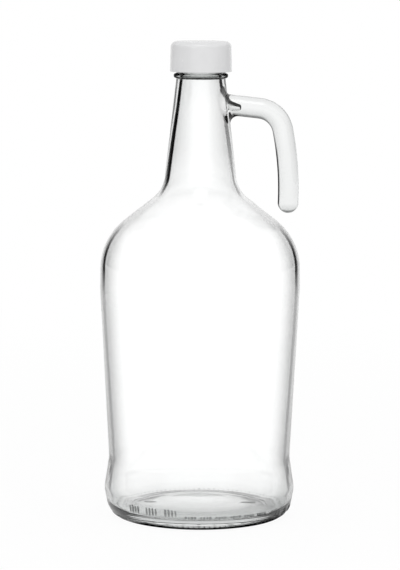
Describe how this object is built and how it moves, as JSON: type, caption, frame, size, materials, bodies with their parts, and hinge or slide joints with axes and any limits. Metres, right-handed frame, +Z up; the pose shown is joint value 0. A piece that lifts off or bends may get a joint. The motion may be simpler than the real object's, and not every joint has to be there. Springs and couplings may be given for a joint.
{
  "type": "glass jug with screw cap",
  "caption": "Clear glass jug with a swollen foot, sloping shoulder, tapering neck, solid glass hook handle and a white plastic screw cap.",
  "frame": {"origin": "centre of the base, on the surface that the jug stands on", "axes": "+Z up along the jug's axis, the hook handle hangs on the +X side"},
  "size_m": [0.1164, 0.1164, 0.2773],
  "materials": {
    "clear_glass": "smooth clear flint glass, fire polished",
    "white_plastic": "moulded white polypropylene with a soft satin surface"
  },
  "bodies": {
    "root": {"bottle": "clear_glass", "cap": "white_plastic"}
  },
  "joints": []
}
